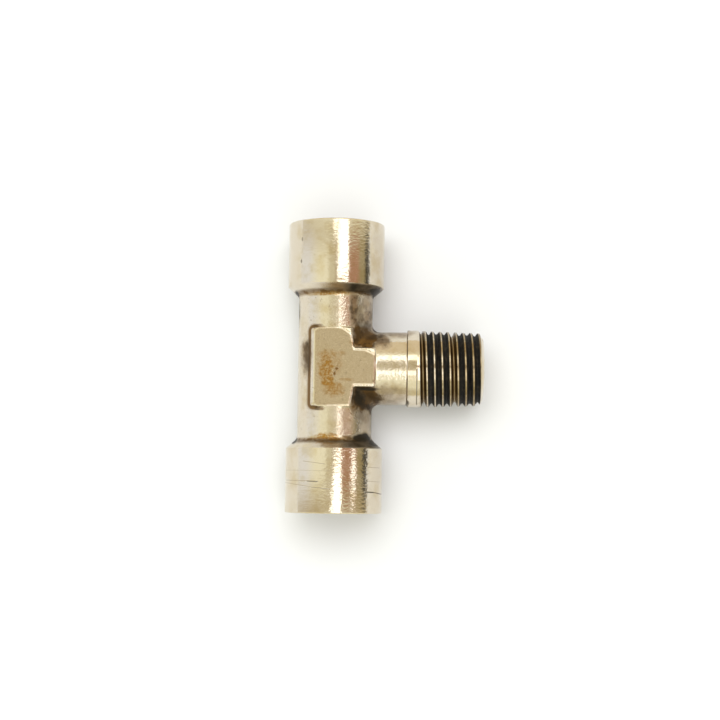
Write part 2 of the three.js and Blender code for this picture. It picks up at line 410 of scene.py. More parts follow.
def socket_groove_cutter(side):
    """The right-hand groove of a socket's parallel thread, open at the socket's mouth."""
    mouth = HALF_RUN + CUT_OVERRUN
    inner = SOCKET_BORE_RADIUS - CUT_CLEARANCE
    inner_half = groove_half_width(THREAD_DEPTH + CUT_CLEARANCE)
    rings = []
    for step in range(math.ceil((SOCKET_THREAD_LENGTH + CUT_OVERRUN) / PITCH * GROOVE_STEPS) + 1):
        turns = (step + 0.5) / GROOVE_STEPS
        y = mouth - turns * PITCH
        angle = side * turns * 2 * math.pi
        rings.append([
            around("Y", side * (y + inner_half), inner, angle),
            around("Y", side * (y - inner_half), inner, angle),
            around("Y", side * (y - ROOT_HALF_WIDTH), THREAD_MAJOR_RADIUS, angle),
            around("Y", side * (y + ROOT_HALF_WIDTH), THREAD_MAJOR_RADIUS, angle),
        ])
    return swept("socket groove", rings)


def socket_bore(side):
    point = SOCKET_BOTTOM - SOCKET_BORE_RADIUS / math.tan(DRILL_POINT_ANGLE)
    chamfer = HALF_RUN - (SOCKET_CHAMFER_RADIUS - SOCKET_BORE_RADIUS)
    return turned("Y", [(side * along, radius) for along, radius in (
        (point, 0.0),
        (SOCKET_BOTTOM, SOCKET_BORE_RADIUS),
        (chamfer, SOCKET_BORE_RADIUS),
        (HALF_RUN + CUT_OVERRUN, SOCKET_CHAMFER_RADIUS + CUT_OVERRUN),
        (HALF_RUN + CUT_OVERRUN, 0.0),
    )])


def run_bore():
    return turned("Y", [
        (-SOCKET_BOTTOM, 0.0),
        (-SOCKET_BOTTOM, RUN_BORE_RADIUS),
        (SOCKET_BOTTOM, RUN_BORE_RADIUS),
        (SOCKET_BOTTOM, 0.0),
    ])


def branch_bore():
    mouth = TIP_X - TIP_BORE_CHAMFER
    return turned("X", [
        (0.0, 0.0),
        (0.0, BRANCH_BORE_RADIUS),
        (mouth, BRANCH_BORE_RADIUS),
        (TIP_X + CUT_OVERRUN, BRANCH_BORE_RADIUS + TIP_BORE_CHAMFER + CUT_OVERRUN),
        (TIP_X + CUT_OVERRUN, 0.0),
    ])


def vertex_points(mesh):
    points = np.empty(len(mesh.vertices) * 3)
    mesh.vertices.foreach_get("co", points)
    return points.reshape(-1, 3)


def shade(made):
    """Smooth shading with edges kept crisp, except where the forging is rounded anyway."""
    mesh = made.data
    mesh.shade_smooth()
    mesh.set_sharp_from_angle(angle=SHARP_ANGLE)
    points = vertex_points(mesh)
    forged = np.abs(forging_field(points)) < FORGED_SKIN
    forged &= np.maximum(np.abs(points[:, 1]), points[:, 0]) < FORGING_SEAM - SEAM_MARGIN
    edges = np.empty(len(mesh.edges) * 2, int)
    mesh.edges.foreach_get("vertices", edges)
    both = forged[edges.reshape(-1, 2)].all(axis=1)
    sharp = mesh.attributes["sharp_edge"]
    flags = np.empty(len(mesh.edges), bool)
    sharp.data.foreach_get("value", flags)
    flags[both] = False
    sharp.data.foreach_set("value", flags)


def mark_corners(made):
    """Stores how close each point is to the foot of the wrench block and to the crotch, which guide
    dirt and painted shade.
    """
    mesh = made.data
    points = vertex_points(mesh)
    x, y, z = points.T
    run_distance, branch_distance = np.hypot(x, z), np.hypot(y, z)
    to_tubes, to_block = np.abs(tubes_field(points)), np.abs(block_field(points))
    to_tube = np.abs(run_distance - TUBE_RADIUS)
    to_neck = np.abs(branch_distance - NECK_RADIUS) + np.maximum(-x, 0)
    upright = 1 - z * z / np.maximum(run_distance * branch_distance, TINY)
    wall = np.clip((FLAT_HALF_HEIGHT - np.abs(z)) / FULL_MARK_WALL, 0, 1)
    marks = {
        "block_foot": np.exp(-(to_tubes + to_block) / FOOT_MARK_WIDTH) * wall,
        "crotch": np.exp(-(to_tube + to_neck) / CROTCH_MARK_WIDTH) * np.clip(upright, 0, 1),
    }
    for name, values in marks.items():
        attribute = mesh.attributes.new(name, "FLOAT", "POINT")
        attribute.data.foreach_set("value", values.astype(np.float32))


def finish_mesh(made):
    """Takes a mesh from millimetres about the crossing to metres in the row frame."""
    made.data.transform(Matrix.Translation((0, 0, AXIS_HEIGHT * MM)) @ Matrix.Scale(MM, 4))
    made.data.update()


def tee_body():
    body = forging()
    combine(body, run_end(1), "UNION")
    combine(body, run_end(-1), "UNION")
    branch = branch_end()
    combine(branch, male_groove_cutter(), "DIFFERENCE")
    combine(body, branch, "UNION")
    combine(body, run_bore(), "DIFFERENCE")
    combine(body, branch_bore(), "DIFFERENCE")
    for side in (1, -1):
        combine(body, socket_bore(side), "DIFFERENCE")
        combine(body, socket_groove_cutter(side), "DIFFERENCE")
    body.name = "tee_forging"
    shade(body)
    mark_corners(body)
    finish_mesh(body)
    return body


# ---- Sealant ----


def ragged(turns, seed, strength):
    """A smooth uneven value, always the same for the same place along a strip."""
    slowest, fastest = RAGGED_RATES
    draws = np.random.default_rng(seed).uniform(
        (slowest, 0.0), (fastest, 2 * math.pi), (RAGGED_WAVES, 2)
    )
    waves = (math.sin(rate * turns + phase) for rate, phase in draws)
    return strength * sum(waves) / RAGGED_SPREAD


def sealant_section(turns, ends):
    """Half the film's cross-section as (half width, height above the root), top side then underside."""
    fade = min(abs(turns - end) for end in ends) / SEALANT_FADE_TURNS
    fade = min(fade, 1.0) ** 0.5
    least_rim, most_rim = SEALANT_RIM_LIMITS
    rim = THREAD_DEPTH * fade * (SEALANT_RIM_SHARE + ragged(turns, RIM_SEED, SEALANT_RIM_VARIES))
    rim = max(min(rim, most_rim), least_rim)
    fill = max(SEALANT_FILL + ragged(turns, FILL_SEED, SEALANT_FILL_VARIES), SEALANT_LEAST_FILL)
    fill = fill * fade + SEALANT_BED
    skin = max(SEALANT_SKIN + ragged(turns, SKIN_SEED, SEALANT_SKIN_VARIES), SEALANT_LEAST_SKIN)
    upper, lower = 0.62 * rim, 0.34 * rim
    top = [
        (groove_half_width(rim) - SEALANT_LEAST_SKIN, rim),
        (groove_half_width(upper) - skin, upper),
        (groove_half_width(lower) - 1.5 * skin, max(lower, fill + SEALANT_LEAST_SKIN)),
        (0.0, fill),
    ]
    under = [
        (groove_half_width(height) - SEALANT_FLANK_GAP, height) for height in (SEALANT_UNDERSIDE, rim)
    ]
    return top, under


def sealant_strip(name):
    first, last = SEALANT_TURNS[name]
    rings = []
    for step in range(round(first * GROOVE_STEPS), round(last * GROOVE_STEPS) + 1):
        turns = step / GROOVE_STEPS
        x = FIRST_CREST_X + (turns + 0.5) * PITCH
        root = male_major_radius(x) - THREAD_DEPTH
        angle = turns * 2 * math.pi
        top, under = sealant_section(turns, (first, last))
        outline = [(-half, height) for half, height in top[:-1]]
        outline += [(half, height) for half, height in reversed(top)]
        outline += [(half, height) for half, height in reversed(under)]
        outline += [(-half, height) for half, height in under]
        rings.append([around("X", x + half, root + height, angle) for half, height in outline])
    strip = swept("dried_" + name, rings)
    strip.data.shade_smooth()
    strip.data.set_sharp_from_angle(angle=SEALANT_SHARP_ANGLE)
    finish_mesh(strip)
    return strip


# ---- Shader graphs ----


class Graph:
    """Short ways to add nodes to one node tree. Values may be numbers, colours or sockets."""

    def __init__(self, tree):
        self.tree = tree
        tree.nodes.clear()

    def put(self, kind, inputs, **settings):
        made = self.tree.nodes.new(kind)
        for key, value in settings.items():
            setattr(made, key, value)
        for key, value in inputs.items():
            if isinstance(value, bpy.types.NodeSocket):
                self.tree.links.new(value, made.inputs[key])
            else:
                made.inputs[key].default_value = value
        return made

    def math(self, operation, first, second=0.0, clamp=False):
        settings = {"operation": operation, "use_clamp": clamp}
        return self.put("ShaderNodeMath", {0: first, 1: second}, **settings).outputs[0]

    def add(self, first, *others):
        for other in others:
            first = self.math("ADD", first, other)
        return first

    def times(self, first, *others):
        for other in others:
            first = self.math("MULTIPLY", first, other)
        return first

    def largest(self, first, *others):
        for other in others:
            first = self.math("MAXIMUM", first, other)
        return first

    def inverse(self, value):
        return self.math("SUBTRACT", 1.0, value)

    def step(self, value, start, end):
        """0 before start and 1 after end, or the other way round where start is larger."""
        inputs = {"Value": value, "From Min": start, "From Max": end}
        made = self.put("ShaderNodeMapRange", inputs, interpolation_type="SMOOTHSTEP")
        return made.outputs["Result"]

    def grade(self, mask, low, high):
        """From low where the mask is 0 to high where it is 1."""
        return self.add(low, self.times(mask, high - low))

    def between(self, value, low, high, soft):
        """1 between low and high, with edges this soft on each side."""
        inside = self.step(value, low - soft, low + soft)
        return self.times(inside, self.step(value, high + soft, high - soft))

    def vector(self, operation, first, second=(0.0, 0.0, 0.0)):
        made = self.put("ShaderNodeVectorMath", {0: first, 1: second}, operation=operation)
        return made.outputs["Value" if operation in ("LENGTH", "DOT_PRODUCT") else "Vector"]

    def parts(self, vector):
        made = self.put("ShaderNodeSeparateXYZ", {"Vector": vector})
        return made.outputs["X"], made.outputs["Y"], made.outputs["Z"]

    def joined(self, x, y, z):
        return self.put("ShaderNodeCombineXYZ", {"X": x, "Y": y, "Z": z}).outputs["Vector"]

    def noise(self, vector, scale, detail=2.0, roughness=0.5):
        inputs = {"Vector": vector, "Scale": scale, "Detail": detail, "Roughness": roughness}
        return self.put("ShaderNodeTexNoise", inputs).outputs["Fac"]

    def mix(self, factor, first, second):
        inputs = {"Factor": factor, "A": first, "B": second}
        made = self.put("ShaderNodeMix", {}, data_type="RGBA")
        by_name = {}
        for socket in made.inputs:
            if socket.enabled:
                by_name[socket.name] = socket
        for key, value in inputs.items():
            if isinstance(value, bpy.types.NodeSocket):
                self.tree.links.new(value, by_name[key])
            elif key == "Factor":
                by_name[key].default_value = value
            else:
                by_name[key].default_value = (*value, 1.0)
        return next(socket for socket in made.outputs if socket.enabled)

    def ramp(self, value, stops):
        """The colour at a value, from (value, colour) stops."""
        low, high = stops[0][0], stops[-1][0]
        share = self.put(
            "ShaderNodeMapRange", {"Value": value, "From Min": low, "From Max": high}
        ).outputs["Result"]
        made = self.put("ShaderNodeValToRGB", {"Fac": share})
        elements = made.color_ramp.elements
        while len(elements) < len(stops):
            elements.new(0.5)
        for element, (place, color) in zip(elements, stops):
            element.position = (place - low) / (high - low)
            element.color = (*color, 1.0)
        return made.outputs["Color"]


# ---- Nickel-plated brass ----

NICKEL = (0.68, 0.612, 0.50)
WORN_NICKEL = (0.60, 0.51, 0.355)
RUBBED_FLAT = (0.51, 0.42, 0.285)
BARE_BRASS = (0.42, 0.30, 0.13)
BROWN_GRIME_AND_SHADE = (0.155, 0.083, 0.025)
BLACK_GRIME_AND_SHADE = (0.017, 0.012, 0.006)
THREAD_GRIME = (0.075, 0.05, 0.022)
VALLEY_GRIME = (0.23, 0.165, 0.08)
ORANGE_STAIN = (0.38, 0.19, 0.022)

# Noises as (scale per millimetre, detail, roughness).
TURNING_LINES = (1.0, 2.0, 0.5)
WIDE_LINES = (0.5, 2.0, 0.6)
CHATTER = (1.0, 1.5, 0.5)
PEEL = (0.9, 1.5, 0.5)
HAMMER = (2.3, 1.5, 0.5)
GRIT = (4.6, 1.0, 0.5)
PITS = (3.1, 2.0, 0.5)
BROAD_WEAR = (0.33, 3.0, 0.6)
FINE_WEAR = (2.4, 4.0, 0.65)
FRECKLES = (1.9, 2.0, 0.6)
MOTTLE = (0.8, 3.0, 0.6)
RAGGED_EDGE = (1.0, 2.5, 0.5)
SOFT_EDGE = (0.7, 2.5, 0.5)

# How tightly turning marks follow each other, and how slowly they change along themselves.
LINE_RATE = 2.2
LINE_DRIFT = 0.2
CHATTER_RATE = 2.8
CHATTER_DRIFT = 1.5

# Heights of the surface's unevenness, in millimetres.
LINE_HEIGHT = 0.007
CHATTER_HEIGHT = 0.036
PEEL_HEIGHT = 0.02
HAMMER_HEIGHT = 0.036
GRIT_HEIGHT = 0.012
PIT_DEPTH = 0.004
SCRATCH_DEPTH = 0.03

# Where one kind of surface gives way to another. Each pair is the start and the end of the change,
# and a mask rises from 0 at the first to 1 at the second.
UPPER_SIDE = (-1.6, -0.5)
UPPER_SIDE_STAINS_AND_SHADE = (-1.5, 1.2)
RUN_TURNED = (FILLET_START, COLLAR_START - 0.4)
BRANCH_TURNED = (BAND_START - 0.3, BAND_START)
NEAR_FLAT = (FLAT_HALF_HEIGHT - 0.12, FLAT_HALF_HEIGHT - 0.02)
ON_FLAT = (FLAT_HALF_HEIGHT - 0.025, FLAT_HALF_HEIGHT - 0.006)
OFF_FLAT = (FLAT_HALF_HEIGHT - 0.12, FLAT_HALF_HEIGHT - 0.3)
BELOW_CREST = (0.0, 0.07)
CREST_CLEAN_TURNS = (0.04, 0.10)
THREAD_BEGINS = (BAND_END - 0.4, BAND_END + 0.4)
THREAD_STOPS = (TIP_CHAMFER[0][0] + 0.1, TIP_CHAMFER[0][0] - 0.1)
CREST_LINES_BEGIN = (FIRST_CREST_X - 0.6, FIRST_CREST_X - 0.3)
BRASS_BEGINS = (BAND_END + 0.1, BAND_END + 0.7)
BRASS_STOPS = (TIP_X - 0.4, TIP_X - 0.8)
BRASS_GROWS = (TIP_X - 8.0, TIP_X - 3.0)
SOCKET_WALL = (SOCKET_CHAMFER_RADIUS + 0.15, SOCKET_CHAMFER_RADIUS - 0.15)
SOCKET_REACH = (COLLAR_START - 1.0, COLLAR_START)
BORE_WALL = (5.3, 4.6)
OUTER_SKIN = (6.3, 6.45)
NECK_BEGINS = (ARM[1] + 0.8, ARM[1] - 0.4)
ARM_STOPS = (ARM[1] - 0.5, ARM[1] - 0.1)
LOWER_HALF = (0.5, -0.5)
SMOOTH_LEFT = (-2.4, -0.8)
SMOOTH_FORGED_LEFT = (-1.5, 0.5)
DARK_CONE_BEGINS = (0.6, 3.2)
DARK_CONE_STOPS = (8.7, 7.6)
BROWN_CONE_BEGINS = (-5.0, 0.5)
ROOT_LINE_GROWS = (-5.5, 0.5)
LEFT_FOOT = (-1.2, -2.8)
BAND_LINE_GROWS = (-0.5, -3.0)

# The dark line round each cone's root: its place along the run, and where it starts and is full.
ROOT_LINE_PLACE = CONE_START + 0.12
ROOT_LINE_EDGE = (0.5, 0.1)

# How a stain fades, in squared shares of its half sizes, and how a scratch does, in half widths
# across it and in millimetres at its ends.
STAIN_EDGE = (1.45, 0.0)
SCRATCH_EDGE = (1.6, 0.4)
SCRATCH_END = 0.15

BASE_ROUGHNESS = 0.11
LINE_ROUGHNESS = 0.05
FORGED_ROUGHNESS = (0.08, 0.16)
INSIDE_ROUGHNESS = 0.18
DIRT_AND_SHADE_ROUGHNESS = 0.25
DIRT_AND_SHADE_ROUGHNESS_POWER = 1.6
SPECULAR_LEVEL = 0.2

# Stains, and in the brown and black rows painted shade, as (x, y, half width, half length, strength),
# on the side of the upper flat.
ORANGE_STAINS = (
    (-1.3, -0.3, 1.25, 2.3, 1.4),
    (-0.9, 1.9, 1.7, 0.9, 0.7),
    (-0.9, -2.6, 1.1, 1.6, 1.3),
    (0.1, -4.1, 1.8, 1.4, 0.9),
    (2.1, -2.4, 1.4, 0.3, 0.5),
    (1.4, 2.0, 0.9, 0.6, 0.5),
    (0.6, 0.3, 1.0, 2.2, 0.35),
    (-1.0, -12.5, 2.6, 0.9, 1.5),
    (4.6, 4.1, 1.9, 0.9, 0.9),
    (-1.0, 12.5, 4.0, 0.4, 1.1),
)
# Brown stains and films; the rows just past the bar's upper and lower walls paint shade at their foot,
# with dirt.
BROWN_STAINS_AND_SHADE = (
    (5.2, 5.0, 2.8, 2.7, 1.2),
    (-4.75, 1.9, 1.15, 3.6, 0.9),
    (5.6, -5.6, 3.4, 3.0, 1.1),
    (3.3, 10.3, 0.9, 4.2, 0.85),
    (5.3, 8.6, 1.7, 2.2, 0.75),
    (5.2, -8.8, 1.6, 1.6, 0.6),
    (1.5, -10.2, 3.0, 3.6, 0.25),
    (2.2, -12.5, 2.0, 0.6, 0.9),
    (8.0, 4.7, 2.0, 1.9, 0.8),
    (10.6, 6.1, 3.4, 1.2, 0.6),
    (9.3, -4.9, 3.8, 2.2, 0.5),
    (-4.4, 1.4, 0.5, 3.4, 0.8),
    (5.7, 10.0, 1.6, 4.5, 0.6),
    (5.7, -10.0, 1.6, 4.5, 0.5),
    (7.6, 18.0, 1.6, 8.0, 0.2),
    (7.6, -19.0, 1.6, 8.0, 0.12),
    (-3.0, 21.6, 0.9, 1.6, 0.2),
    (-2.9, 6.9, 1.2, 0.35, 0.7),
    (-2.7, -7.4, 1.4, 0.35, 0.8),
)
FLAT_SPECKS = (
    (0.54, -0.56, 0.33, 0.25, 1.3),
    (0.2, -1.4, 0.25, 0.45, 1.1),
    (0.35, -1.0, 0.15, 0.3, 0.6),
    (-3.0, -4.9, 0.12, 0.15, 0.5),
    (6.9, -2.6, 0.2, 0.35, 0.8),
)
# Black dirt, and painted shade in the crotch corners, under the arm's lower wall and along the sides of
# the tube and neck.
BLACK_STAINS_AND_SHADE = (
    (5.2, 7.2, 1.5, 0.9, 0.7),
    (3.9, 5.2, 0.45, 1.8, 0.6),
    (4.8, 5.9, 1.7, 1.2, 0.6),
    (6.3, 5.2, 1.6, 0.6, 0.6),
    (8.4, 4.4, 1.5, 0.5, 0.35),
    (4.5, -5.4, 1.4, 2.0, 1.0),
    (6.0, -5.4, 2.6, 1.2, 0.7),
    (6.0, -6.9, 1.8, 0.8, 0.9),
    (4.6, -8.4, 1.2, 1.6, 0.45),
    (5.9, -3.95, 2.3, 0.35, 1.0),
    (7.2, 6.9, 1.0, 1.0, 1.0),
    (7.0, -7.4, 0.9, 0.9, 0.9),
    (-6.9, 12.5, 0.5, 0.8, 1.5),
    (-6.9, -12.7, 0.6, 0.9, 1.6),
    (7.0, 13.0, 1.0, 1.0, 1.5),
    (7.0, -13.0, 1.0, 1.0, 1.3),
    (12.7, -6.3, 0.35, 0.6, 0.9),
    (-4.7, 1.7, 0.75, 3.0, 0.6),
    (-4.35, 1.6, 0.3, 3.3, 0.75),
    (-6.6, 9.7, 0.5, 2.9, 1.0),
    (-5.69, 21.87, 0.16, 0.35, 0.6),
    (-5.81, 18.04, 0.16, 0.35, 0.8),
    (5.0, -12.3, 2.1, 1.0, 1.2),
    (5.0, 13.2, 2.4, 0.7, 0.9),
    (6.6, 10.0, 0.25, 3.4, 0.7),
    (6.6, -9.6, 0.25, 3.2, 0.7),
    (10.0, 6.6, 3.2, 0.25, 0.8),
    (10.2, -6.6, 2.8, 0.2, 0.5),
)
# Scratches on the lower collar, and the end of the thread's run-out on the band, as
# (start, end, half width, strength), on the same side.
SCRATCHES = (
    ((-8.2, -19.7), (-4.0, -19.82), 0.06, 0.25),
    ((-4.2, -19.82), (-2.3, -19.9), 0.09, 0.75),
    ((-8.4, -20.1), (-3.3, -20.83), 0.05, 0.3),
    ((-3.4, -20.83), (-0.2, -21.12), 0.06, 0.5),
    ((5.6, -21.56), (7.2, -21.64), 0.1, 0.95),
    ((7.2, -21.64), (8.4, -21.95), 0.08, 0.8),
    ((-4.9, -16.44), (-1.1, -16.92), 0.05, 0.3),
    ((-8.2, -17.98), (-0.2, -18.09), 0.04, 0.15),
    ((5.8, -17.32), (8.1, -17.42), 0.05, 0.3),
    ((14.33, -6.4), (14.33, -0.4), 0.09, 0.75),
    ((5.8, -19.7), (8.1, -19.84), 0.05, 0.25),
)


def blot(g, at, edge, stains):
    """Where any of the stains lie, with edges made uneven by the given value."""
    total = None
    for centre_x, centre_y, half_width, half_length, strength in stains:
        dx = g.math("DIVIDE", g.math("SUBTRACT", at.x, centre_x), half_width)
        dy = g.math("DIVIDE", g.math("SUBTRACT", at.y, centre_y), half_length)
        reach = g.add(g.times(dx, dx), g.times(dy, dy), edge)
        mark = g.times(g.step(reach, *STAIN_EDGE), strength)
        total = mark if total is None else g.largest(total, mark)
    return g.math("MINIMUM", total, 1.0)


def scratch(g, at, start, end, half_width, strength):
    length = math.hypot(end[0] - start[0], end[1] - start[1])
    along = ((end[0] - start[0]) / length, (end[1] - start[1]) / length)
    dx, dy = g.math("SUBTRACT", at.x, start[0]), g.math("SUBTRACT", at.y, start[1])
    travelled = g.add(g.times(dx, along[0]), g.times(dy, along[1]))
    offset = g.add(g.times(dx, -along[1]), g.times(dy, along[0]))
    near = g.step(g.math("ABSOLUTE", offset), *(half_width * share for share in SCRATCH_EDGE))
    return g.times(near, g.between(travelled, 0.0, length, SCRATCH_END), strength)


class Places:
    """Where a point of the metal is, in millimetres, and masks for the kinds of surface."""

    def __init__(self, g):
        place = g.put("ShaderNodeTexCoord", {}).outputs["Object"]
        place = g.vector("DIVIDE", place, (MM, MM, MM))
        self.place = g.vector("SUBTRACT", place, (0, 0, AXIS_HEIGHT))
        self.x, self.y, self.z = g.parts(self.place)
        self.run_reach = g.math("ABSOLUTE", self.y)
        self.run_radius = g.vector("LENGTH", g.joined(self.x, 0.0, self.z))
        self.branch_radius = g.vector("LENGTH", g.joined(0.0, self.y, self.z))
        self.upper = g.step(self.z, *UPPER_SIDE)

        self.run_turned = g.step(self.run_reach, *RUN_TURNED)
        self.branch_turned = g.step(self.x, *BRANCH_TURNED)
        self.turned = g.largest(self.run_turned, self.branch_turned)
        self.forged = g.inverse(self.turned)
        height = g.math("ABSOLUTE", self.z)
        self.near_flat = g.times(g.step(height, *NEAR_FLAT), self.forged)
        self.on_flat = g.times(g.step(height, *ON_FLAT), self.forged)
        self.before_neck = g.step(self.x, *NECK_BEGINS)
        self.lower_half = g.step(self.y, *LOWER_HALF)
        self.set_threads(g)

    def set_threads(self, g):
        """The male thread's grooves and crests, and the walls of the sockets and passages."""
        crest = g.add(male_major_radius(0.0), g.times(self.x, -TAPER_PER_SIDE))
        self.below_crest = g.math("SUBTRACT", crest, self.branch_radius)
        self.groove = g.times(
            g.step(self.below_crest, *BELOW_CREST),
            g.step(self.x, *THREAD_BEGINS), g.step(self.x, *THREAD_STOPS),
        )
        turn = g.math("DIVIDE", g.math("ARCTAN2", g.times(self.y, -1.0), self.z), 2 * math.pi)
        from_first = g.times(g.math("SUBTRACT", self.x, FIRST_CREST_X), 1 / PITCH)
        turns = g.add(g.math("SUBTRACT", from_first, turn), 0.5)
        from_crest = g.math("ABSOLUTE", g.math("SUBTRACT", g.math("FRACT", turns), 0.5))
        off_crest = g.times(
            g.step(from_crest, *CREST_CLEAN_TURNS), g.step(self.x, *CREST_LINES_BEGIN)
        )
        self.thread = g.times(g.step(self.x, *BRASS_BEGINS), g.step(self.x, *BRASS_STOPS))
        self.dirty_groove = g.largest(self.groove, g.times(self.thread, off_crest))
        socket = g.times(g.step(self.run_radius, *SOCKET_WALL), g.step(self.run_reach, *SOCKET_REACH))
        bores = g.largest(
            g.step(self.run_radius, *BORE_WALL),
            g.times(
                g.step(self.branch_radius, *BORE_WALL), g.between(self.x, 1.0, TIP_X - 0.5, 0.5)
            ),
        )
        self.inside = g.largest(socket, bores)


class Grain:
    """What making and wear have left on the metal, as noises around a half."""

    def __init__(self, g, at):
        slow_x, slow_y, slow_z = (g.times(value, LINE_DRIFT) for value in (at.x, at.y, at.z))
        round_run = g.add(g.times(at.y, LINE_RATE), g.times(at.run_radius, LINE_RATE))
        round_branch = g.add(g.times(at.x, LINE_RATE), g.times(at.branch_radius, LINE_RATE))
        run_lines = g.joined(slow_x, round_run, slow_z)
        branch_lines = g.joined(round_branch, slow_y, slow_z)
        self.lines = g.add(
            g.times(g.noise(run_lines, *TURNING_LINES), at.run_turned),
            g.times(g.noise(branch_lines, *TURNING_LINES), at.branch_turned),
        )
        self.wide_lines = g.noise(run_lines, *WIDE_LINES)
        self.chatter = self.tool_chatter(g, at)
        self.peel = g.noise(at.place, *PEEL)
        self.hammer = g.noise(at.place, *HAMMER)
        self.grit = g.noise(at.place, *GRIT)
        self.pits = g.step(g.noise(at.place, *PITS), 0.36, 0.27)
        self.broad = g.noise(at.place, *BROAD_WEAR)
        self.fine = g.noise(at.place, *FINE_WEAR)
        self.freckles = g.step(g.noise(at.place, *FRECKLES), 0.62, 0.74)

    def tool_chatter(self, g, at):
        """Short waves of the turning tool, strongest on the lower collar and faint on its left."""
        drift, rate = CHATTER_DRIFT, CHATTER_RATE
        on_run = g.noise(g.vector("MULTIPLY", at.place, (drift, rate, drift)), *CHATTER)
        on_branch = g.noise(g.vector("MULTIPLY", at.place, (rate, drift, drift)), *CHATTER)
        strength = g.times(
            g.grade(at.lower_half, 0.7, 1.2), g.grade(g.step(at.x, *SMOOTH_LEFT), 0.12, 1.0)
        )
        return g.add(
            g.times(on_run, at.run_turned, strength), g.times(on_branch, at.branch_turned, 0.2)
        )


class DirtAndShade:
    """Orange stains, brown and black dirt with painted shade at the block's foot, in the crotch, at the
    band's step, under the arm and along the sides of the tube and neck, and the scratches, as masks.
    """

    def __init__(self, g, at, grain):
        self.mottle = g.step(g.noise(at.place, *MOTTLE), 0.47, 0.62)
        self.both_sides = g.grade(at.upper, 0.45, 1.0)
        ragged_edge = g.grade(g.noise(at.place, *RAGGED_EDGE), -1.1, 1.1)
        soft_edge = g.grade(g.noise(at.place, *SOFT_EDGE), -0.9, 0.9)
        beside_flat = g.times(g.step(at.z, *OFF_FLAT), g.step(at.z, *UPPER_SIDE_STAINS_AND_SHADE))
        cone = self.on_cone(g, at, grain)

        self.orange = g.times(blot(g, at, ragged_edge, ORANGE_STAINS), at.upper)
        brown = g.times(blot(g, at, soft_edge, BROWN_STAINS_AND_SHADE), beside_flat)
        dark_side = g.times(g.step(at.x, *DARK_CONE_BEGINS), g.step(at.x, *DARK_CONE_STOPS))
        self.black = g.largest(
            g.times(blot(g, at, soft_edge, BLACK_STAINS_AND_SHADE), beside_flat),
            g.times(g.step(brown, 0.35, 0.9), self.mottle, 0.75),
            self.crotch_dirt_and_shade(g, ragged_edge),
            g.times(cone, dark_side),
            self.root_line(g, at),
        )
        self.brown = g.largest(
            brown,
            g.times(blot(g, at, soft_edge, FLAT_SPECKS), at.near_flat, at.upper),
            self.block_foot_dirt_and_shade(g, at),
            g.times(cone, g.step(at.x, *BROWN_CONE_BEGINS), 0.8),
            self.at_cone_root(g, at),
            self.band_step_dirt_and_shade(g, at),
        )
        self.scratches = g.times(
            g.largest(*(scratch(g, at, *row) for row in SCRATCHES)), at.upper
        )

    def on_cone(self, g, at, grain):
        on_cone = g.between(at.run_reach, CONE_START - 0.2, COLLAR_START - 0.1, 0.2)
        uneven = g.grade(grain.broad, 0.46, 1.26)
        return g.times(on_cone, self.both_sides, uneven, g.step(at.run_radius, *OUTER_SKIN))

    def at_cone_root(self, g, at):
        near = g.between(at.run_reach, CONE_START - 0.5, CONE_START + 0.3, 0.25)
        return g.times(near, self.both_sides, g.grade(self.mottle, 0.7, 1.0))

    def root_line(self, g, at):
        """A thin dark line round the root of the cone, darker on the right and on the lower one."""
        off_line = g.math("ABSOLUTE", g.math("SUBTRACT", at.run_reach, ROOT_LINE_PLACE))
        return g.times(
            g.step(off_line, *ROOT_LINE_EDGE), self.both_sides,
            g.grade(g.step(at.x, *ROOT_LINE_GROWS), 0.3, 0.65), g.grade(at.lower_half, 0.7, 1.1),
        )

    def crotch_dirt_and_shade(self, g, ragged_edge):
        # Dirt with painted shade, darkening the crotch between the tube and the neck.
        crotch = g.put("ShaderNodeAttribute", {}, attribute_name="crotch").outputs["Fac"]
        return g.times(g.step(g.add(crotch, g.times(ragged_edge, 0.06)), 0.3, 0.85), 0.95)

    def block_foot_dirt_and_shade(self, g, at):
        # Dirt with painted shade along the foot of the block's walls, strongest at its left wall.
        foot = g.put("ShaderNodeAttribute", {}, attribute_name="block_foot").outputs["Fac"]
        before_end = g.inverse(g.step(at.x, *ARM_STOPS))
        on_left = g.times(g.step(foot, 0.2, 0.5), g.step(at.x, *LEFT_FOOT), 0.95)
        return g.largest(g.times(g.step(foot, 0.30, 0.75), before_end, 0.8), on_left)

    def band_step_dirt_and_shade(self, g, at):
        """Dirt and painted shade in the step up to the band, stronger towards the lower side."""
        near = g.between(at.x, BAND_START - 0.14, BAND_START + 0.02, 0.06)
        return g.times(near, g.grade(g.step(at.y, *BAND_LINE_GROWS), 0.3, 0.8))


def metal_normal(g, at, grain, dirt_and_shade):
    forged_height = g.add(
        g.times(grain.peel, PEEL_HEIGHT), g.times(grain.hammer, HAMMER_HEIGHT),
        g.times(grain.grit, GRIT_HEIGHT),
    )
    height = g.add(
        g.times(grain.lines, LINE_HEIGHT),
        g.times(grain.chatter, CHATTER_HEIGHT),
        g.times(
            forged_height, at.forged, g.grade(at.near_flat, 1.0, 0.07),
            g.grade(at.before_neck, 0.45, 1.0),
            g.grade(g.step(at.x, *SMOOTH_FORGED_LEFT), 0.85, 1.25),
        ),
        g.times(grain.pits, at.forged, -PIT_DEPTH),
        g.times(dirt_and_shade.scratches, -SCRATCH_DEPTH),
    )
    bump = g.put("ShaderNodeBump", {"Height": height, "Distance": MM, "Strength": 1.0})
    return bump.outputs["Normal"]


